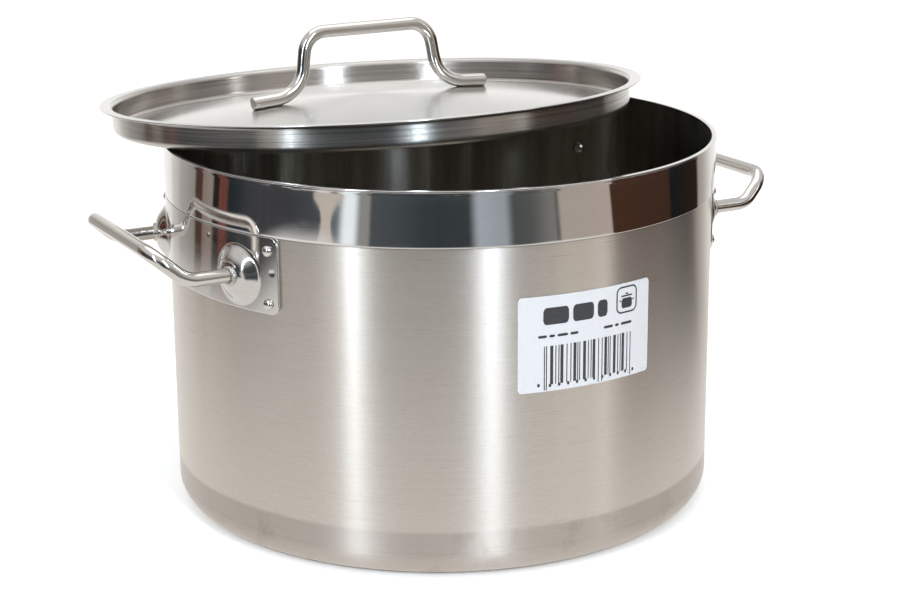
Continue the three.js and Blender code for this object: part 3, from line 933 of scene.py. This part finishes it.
def build_rivet(place, level, turn, side):
    """Both heads and the shank between them, turned about the line out from the pot's axis."""
    head = PLATE_OUTER_RADIUS - SINK
    inner = POT_RADIUS - WALL_SHEET + SINK
    head_dome = RIVET_HEAD_HEIGHT - RIVET_HEAD_EDGE
    inner_dome = RIVET_INNER_HEIGHT - RIVET_INNER_EDGE
    quarter = np.radians(np.linspace(0, 90, 12))[:-1]
    profile = [
        (0.0, inner - RIVET_INNER_HEIGHT),
        *[(RIVET_INNER_RADIUS * math.cos(a), inner - RIVET_INNER_EDGE - inner_dome * math.sin(a))
          for a in reversed(quarter)],
        (RIVET_INNER_RADIUS, inner),
        (RIVET_SHANK_RADIUS, inner),
        (RIVET_SHANK_RADIUS, head),
        (RIVET_HEAD_RADIUS, head),
        *[(RIVET_HEAD_RADIUS * math.cos(a), head + RIVET_HEAD_EDGE + head_dome * math.sin(a))
          for a in quarter],
        (0.0, head + RIVET_HEAD_HEIGHT),
    ]
    points, faces = turned(profile, segments=40)
    seat = outward_matrix(turn + side * RIVET_ANGLE, 0, RIVET_HEIGHTS[level])
    piece = make_piece(f"rivet_head_{place}_{level}", placed(points, seat), faces, sharp_angle=50)
    fit(piece, rivet_steel, "pot", "rivet", f"rivet_{place}_{level}")


def build_side_handles():
    # The left handle is the right one turned half round, so its +Y end becomes the front one.
    for side_name, turn, front in (("right", 0, -1), ("left", 180, 1)):
        build_plate(side_name, turn)
        build_grip(side_name, turn)
        for end_name, side in (("front", front), ("back", -front)):
            place = f"{side_name}_{end_name}"
            build_collar(place, turn, side)
            for level in RIVET_HEIGHTS:
                build_rivet(place, level, turn, side)


# ---- Lid ----

DOME_EDGE_RADIUS = LID_SKIRT_RADIUS - LID_CORNER_RADIUS
DOME_CENTRE_HEIGHT = LID_SHEET - LID_DEPTH + DOME_EDGE_RADIUS ** 2 / (2 * LID_DOME_RADIUS)


def dome_height(radius):
    return DOME_CENTRE_HEIGHT - radius ** 2 / (2 * LID_DOME_RADIUS)


def build_lid_pan():
    top = [(r, dome_height(r)) for r in np.linspace(0, DOME_EDGE_RADIUS, 40)]
    under = [(r, h - LID_SHEET) for r, h in top]
    corner_height = LID_CORNER_RADIUS - LID_DEPTH
    fillet = LID_FLANGE_FILLET
    edge = 0.5 * LID_SHEET
    profile = [
        *under[:-1],
        *arc(DOME_EDGE_RADIUS, corner_height, LID_CORNER_RADIUS, -90, 0, 10),
        *arc(LID_SKIRT_RADIUS + fillet, -LID_SHEET - fillet, fillet, 180, 90, 8),
        *arc(LID_FLANGE_RADIUS - edge, -edge, edge, -90, 90, 8),
        *arc(LID_SKIRT_RADIUS + fillet, -LID_SHEET - fillet, fillet + LID_SHEET, 90, 180, 8),
        *arc(DOME_EDGE_RADIUS, corner_height, LID_CORNER_RADIUS - LID_SHEET, 0, -90, 10),
        *reversed(top[:-1]),
    ]
    points, faces = turned(with_support(profile))
    piece = make_piece("lid_dish", placed(points, LID_FRAME), faces)
    fit(piece, lid_steel, "lid", "satin_lid", "lid_pan")


def build_lid_handle():
    end = dome_height(LID_HANDLE_HALF_SPAN) + ROD_RADIUS - SINK
    bend = dome_height(LID_HANDLE_LEG_OFFSET) + ROD_RADIUS - SINK
    half = [
        (LID_HANDLE_HALF_SPAN, end),
        (LID_HANDLE_LEG_OFFSET, bend),
        (LID_HANDLE_TOP_OFFSET, LID_HANDLE_HEIGHT),
    ]
    corners = [(-x, 0, h) for x, h in half] + [(x, 0, h) for x, h in reversed(half)]
    radii = [LID_HANDLE_FOOT_RADIUS, LID_HANDLE_TOP_RADIUS]
    place = LID_FRAME @ Matrix.Rotation(math.radians(LID_HANDLE_ANGLE), 4, "Z")
    path = [place @ p for p in bent_path(corners, radii + radii[::-1])]
    down = -(LID_FRAME.to_3x3() @ Vector((0, 0, 1)))
    piece = bar("lid_grip", path, side=down)
    fit(piece, bar_steel, "lid", "handle_rod", "lid_handle")


build_wall()
build_lip()
build_band()
build_base()
build_label()
build_print()
build_side_handles()
build_lid_pan()
build_lid_handle()

# ---- Camera ----

CAMERA_PLACE = Vector((-0.550, -1.039, 0.449))
CAMERA_AIM = Vector((0.0048, -0.0025, 0.112))
CAMERA_ROLL = -0.0071
CAMERA_LENS = 81.2

camera_data = bpy.data.cameras.new("camera")
camera_data.lens = CAMERA_LENS
camera_data.sensor_width = 36
camera_data.clip_end = 40
camera = new_object("camera", camera_data)
facing = (CAMERA_AIM - CAMERA_PLACE).to_track_quat("-Z", "Y")
camera.matrix_world = (Matrix.Translation(CAMERA_PLACE) @ facing.to_matrix().to_4x4()
                       @ Matrix.Rotation(CAMERA_ROLL, 4, "Z"))
bpy.context.scene.camera = camera

# ---- Studio ----

FRONT_ANGLE = math.atan2(CAMERA_PLACE.y, CAMERA_PLACE.x)
WINDOW_LIGHT = (0.775, 0.90, 1.03)
FLOOR_RADIUS = 9000.0
CARD_INNER_RADIUS = 150.6      # where the base's corner has risen above the card
CARD_Z = 0.6


def studio_place(angle, distance, height):
    """A place round the pot; the angle is in degrees to the right of the camera."""
    turn = FRONT_ANGLE + math.radians(angle)
    return Vector((distance * math.cos(turn), distance * math.sin(turn), height))


def softbox(name, place, aim, width, height, power, color=(1, 1, 1)):
    light = bpy.data.lights.new(name, "AREA")
    light.shape = "RECTANGLE"
    light.size = width
    light.size_y = height
    light.energy = power
    light.color = color
    lamp = new_object(name, light)
    lamp.location = place
    lamp.rotation_euler = (Vector(aim) - place).to_track_quat("-Z", "Y").to_euler()


# What stands round the pot and shows only in its polished faces, in degrees to the right of
# the camera. First what lies to the left: the dark room, a bright window, posts and a brown
# cupboard, and the pale sweep behind the pot.
LEFT_SIDE = (
    (0, (0.045, 0.056, 0.062)), (-27, (0.085, 0.10, 0.11)), (-28.5, (0.34, 0.33, 0.31)),
    (-31.5, (0.32, 0.34, 0.34)), (-35, (1.1, 1.18, 1.24)), (-37.5, (1.1, 1.18, 1.24)),
    (-41.5, (0.17, 0.20, 0.22)), (-48, (0.075, 0.09, 0.10)), (-64, (0.06, 0.062, 0.07)),
    (-79, (0.06, 0.062, 0.07)), (-95, (0.02, 0.03, 0.035)), (-96, (0.17, 0.06, 0.045)),
    (-100.5, (0.20, 0.07, 0.05)), (-101.5, (0.02, 0.02, 0.02)), (-104.5, (0.02, 0.02, 0.02)),
    (-106, (0.34, 0.29, 0.26)), (-112.5, (0.30, 0.24, 0.21)), (-113.5, (0.09, 0.05, 0.04)),
    (-118, (0.09, 0.05, 0.04)), (-120, (0.36, 0.34, 0.32)), (-131, (0.46, 0.44, 0.42)),
    (-142, (0.70, 0.69, 0.67)), (-152, (1.05, 1.04, 1.02)), (-180, (1.05, 1.04, 1.02)),
)
# Then what lies to the right: a wide window, a grey wall, a beige wall and a dark door.
RIGHT_SIDE = (
    (0, (0.045, 0.056, 0.062)), (10.5, (0.05, 0.06, 0.066)), (15.5, (0.46, 0.52, 0.58)),
    (25, (0.40, 0.45, 0.50)), (29.5, (0.09, 0.098, 0.105)), (34, (0.105, 0.11, 0.112)),
    (45.8, (0.24, 0.235, 0.23)), (46.8, (0.12, 0.115, 0.11)), (48.4, (0.50, 0.45, 0.41)),
    (71.6, (0.55, 0.475, 0.43)), (72.4, (0.075, 0.035, 0.022)), (106, (0.06, 0.03, 0.02)),
    (108, (0.012, 0.014, 0.014)), (131, (0.028, 0.016, 0.012)), (134, (0.44, 0.41, 0.37)),
    (158, (0.98, 0.97, 0.95)), (180, (1.05, 1.04, 1.02)),
)
# Higher up on the right: the window's top, a beige wall and a tall narrow window in a dark one.
# Only the lid and the inside of the pot see these.
HIGH_RIGHT_SIDE = (
    (0, (0.10, 0.10, 0.10)), (10.5, (0.10, 0.10, 0.10)), (15.5, (0.46, 0.52, 0.58)),
    (25, (0.40, 0.45, 0.50)), (29, (0.26, 0.24, 0.22)), (36, (0.50, 0.455, 0.41)),
    (57, (0.46, 0.415, 0.37)), (61, (0.10, 0.09, 0.08)), (68, (0.10, 0.09, 0.08)),
    (69.5, (5.2, 5.4, 5.6)), (71.5, (5.2, 5.4, 5.6)), (73, (0.10, 0.09, 0.08)),
    (98, (0.10, 0.09, 0.08)), (106, (0.50, 0.46, 0.42)), (128, (0.50, 0.46, 0.42)),
    (142, (0.98, 0.97, 0.95)), (180, (1.05, 1.04, 1.02)),
)


def zones(nodes, turn, stops):
    """Colours by angle: turn is the angle away from the front, in radians, all one way round."""
    ramp = nodes.add("ShaderNodeValToRGB", {"Fac": nodes.math("DIVIDE", turn, math.pi)})
    ramp.color_ramp.interpolation = "EASE"
    elements = ramp.color_ramp.elements
    while len(elements) < len(stops):
        elements.new(0.5)
    for element, (degrees, color) in zip(elements, stops):
        element.position = abs(degrees) / 180
        element.color = (*color, 1)
    return ramp.outputs["Color"]


def surround_color(nodes, vector, right_side, spread=1.0):
    """The surround's colour in the direction of a vector, and the angle to the right of the
    camera in radians; spread widens the zones."""
    front = Vector((math.cos(FRONT_ANGLE), math.sin(FRONT_ANGLE), 0))
    right = Vector((-math.sin(FRONT_ANGLE), math.cos(FRONT_ANGLE), 0))
    angle = nodes.math("ARCTAN2", nodes.dot(vector, right), nodes.dot(vector, front))
    angle = nodes.times(angle, spread)
    turn = nodes.math("MINIMUM", nodes.math("ABSOLUTE", angle), math.pi)
    on_right = nodes.math("GREATER_THAN", angle, 0.0)
    color = nodes.mix(on_right, zones(nodes, turn, LEFT_SIDE), zones(nodes, turn, right_side))
    return color, angle


def build_floor():
    rings = [(radius, 0.0) for radius in (0.0, 400.0, 1500.0, FLOOR_RADIUS)]
    points, faces = turned(rings, segments=96)
    floor = make_piece("studio_floor", points, faces)
    f = Finish("floor_paper", metallic=0.0)
    tone = f.noise(f.place, detail=2, scale=3)
    base = f.mix(f.remap(tone, 0.3, 0.7), (0.94, 0.94, 0.94), (0.955, 0.955, 0.955))
    floor.data.materials.append(f.finish(Base_Color=base, Roughness=f.remap(tone, 0, 1, 0.8, 0.9)))


def build_surround_card():
    """A card on the floor, seen only in reflections: pale near the pot, the dark room beyond."""
    points, faces = turned([(r, CARD_Z) for r in (CARD_INNER_RADIUS, 900.0, FLOOR_RADIUS)])
    card = make_piece("surround_card", points, faces)
    material = bpy.data.materials.new("surround_card")
    material.use_nodes = True
    material.node_tree.nodes.clear()
    n = Nodes(material.node_tree)
    place = n.add("ShaderNodeTexCoord").outputs["Object"]
    reach = n.add("ShaderNodeVectorMath", {0: place}, operation="LENGTH").outputs["Value"]
    color, angle = surround_color(n, place, RIGHT_SIDE, spread=1.08)
    degrees = n.times(angle, 180 / math.pi)
    # Thin uprights of the room, mostly to the left.
    posts = n.noise(n.join(n.times(degrees, 0.9), 0.0, 0.0), detail=2)
    left_share = n.remap(degrees, -20, -60, 0.15, 0.6)
    color = n.mix(n.times(n.remap(posts, 0.62, 0.68), left_share), color, (0.20, 0.15, 0.13))
    # The pale gap beside the left window: narrow at middle distance and wider near and far.
    off_middle = n.math("SUBTRACT", reach, 0.93)
    widening = n.math("MINIMUM", n.times(n.times(off_middle, off_middle), 45), 4.0)
    off_gap = n.math("ABSOLUTE", n.math("ADD", degrees, 45.6))
    gap = n.remap(n.math("SUBTRACT", off_gap, widening), 1.7, 2.4, 1.0, 0.0)
    color = n.mix(gap, color, (0.66, 0.60, 0.54))
    # The pale floor reaches further to the left but not to the far left, and the dark door on
    # the right stands close: between two angles, the room's distance changes by so many metres.
    depth = reach
    for start, stop, low, high in (
            (-82, -62, 0.13, 0.0), (-48, -26, -0.13, 0.06), (30, 45, 0.0, -0.06),
            (68, 76, 0.0, 0.22)):
        depth = n.math("ADD", depth, n.remap(degrees, start, stop, low, high, smooth=True))
    color = n.mix(n.remap(depth, 0.54, 0.76, smooth=True), (0.98, 0.97, 0.95), color)
    color = n.mix(n.remap(reach, 1.15, 1.8, 0.0, 0.1, smooth=True), color, (0.62, 0.62, 0.61))
    glow = n.add("ShaderNodeEmission", {"Color": color, "Strength": 1.0})
    n.add("ShaderNodeOutputMaterial", {"Surface": glow.outputs[0]})
    card.data.materials.append(material)
    card.visible_camera = False
    card.visible_diffuse = False
    card.visible_shadow = False


def build_world():
    """Even pale light for the floor; reflections see the surround, paler overhead."""
    world = bpy.data.worlds.new("studio")
    bpy.context.scene.world = world
    world.use_nodes = True
    n = Nodes(world.node_tree)
    direction = n.add("ShaderNodeTexCoord").outputs["Generated"]
    rise = n.split(direction)[2]
    low = surround_color(n, direction, RIGHT_SIDE)[0]
    high = surround_color(n, direction, HIGH_RIGHT_SIDE)[0]
    around = n.mix(n.remap(rise, 0.10, 0.18, smooth=True), low, high)
    mirrored = n.mix(n.remap(rise, 0.20, 0.62, smooth=True), around, (0.80, 0.80, 0.81))
    glossy = n.add("ShaderNodeLightPath").outputs["Is Glossy Ray"]
    color = n.mix(glossy, (1.2, 1.2, 1.2), mirrored)
    background = world.node_tree.nodes["Background"]
    world.node_tree.links.new(color, background.inputs["Color"])


build_floor()
build_surround_card()
build_world()
for name, angle, width, power in (("strip_left", -35, 0.05, 8.5), ("strip_right", 20, 0.15, 10.5)):
    place = studio_place(angle, distance=1.5, height=0.95)
    softbox(name, place, (0, 0, 0.1), width, 1.1, power, WINDOW_LIGHT)
softbox("overhead", Vector((0.1, 0.3, 1.9)), (0, 0, 0), 1.8, 1.8, 10)

bpy.context.scene.view_settings.view_transform = "Standard"
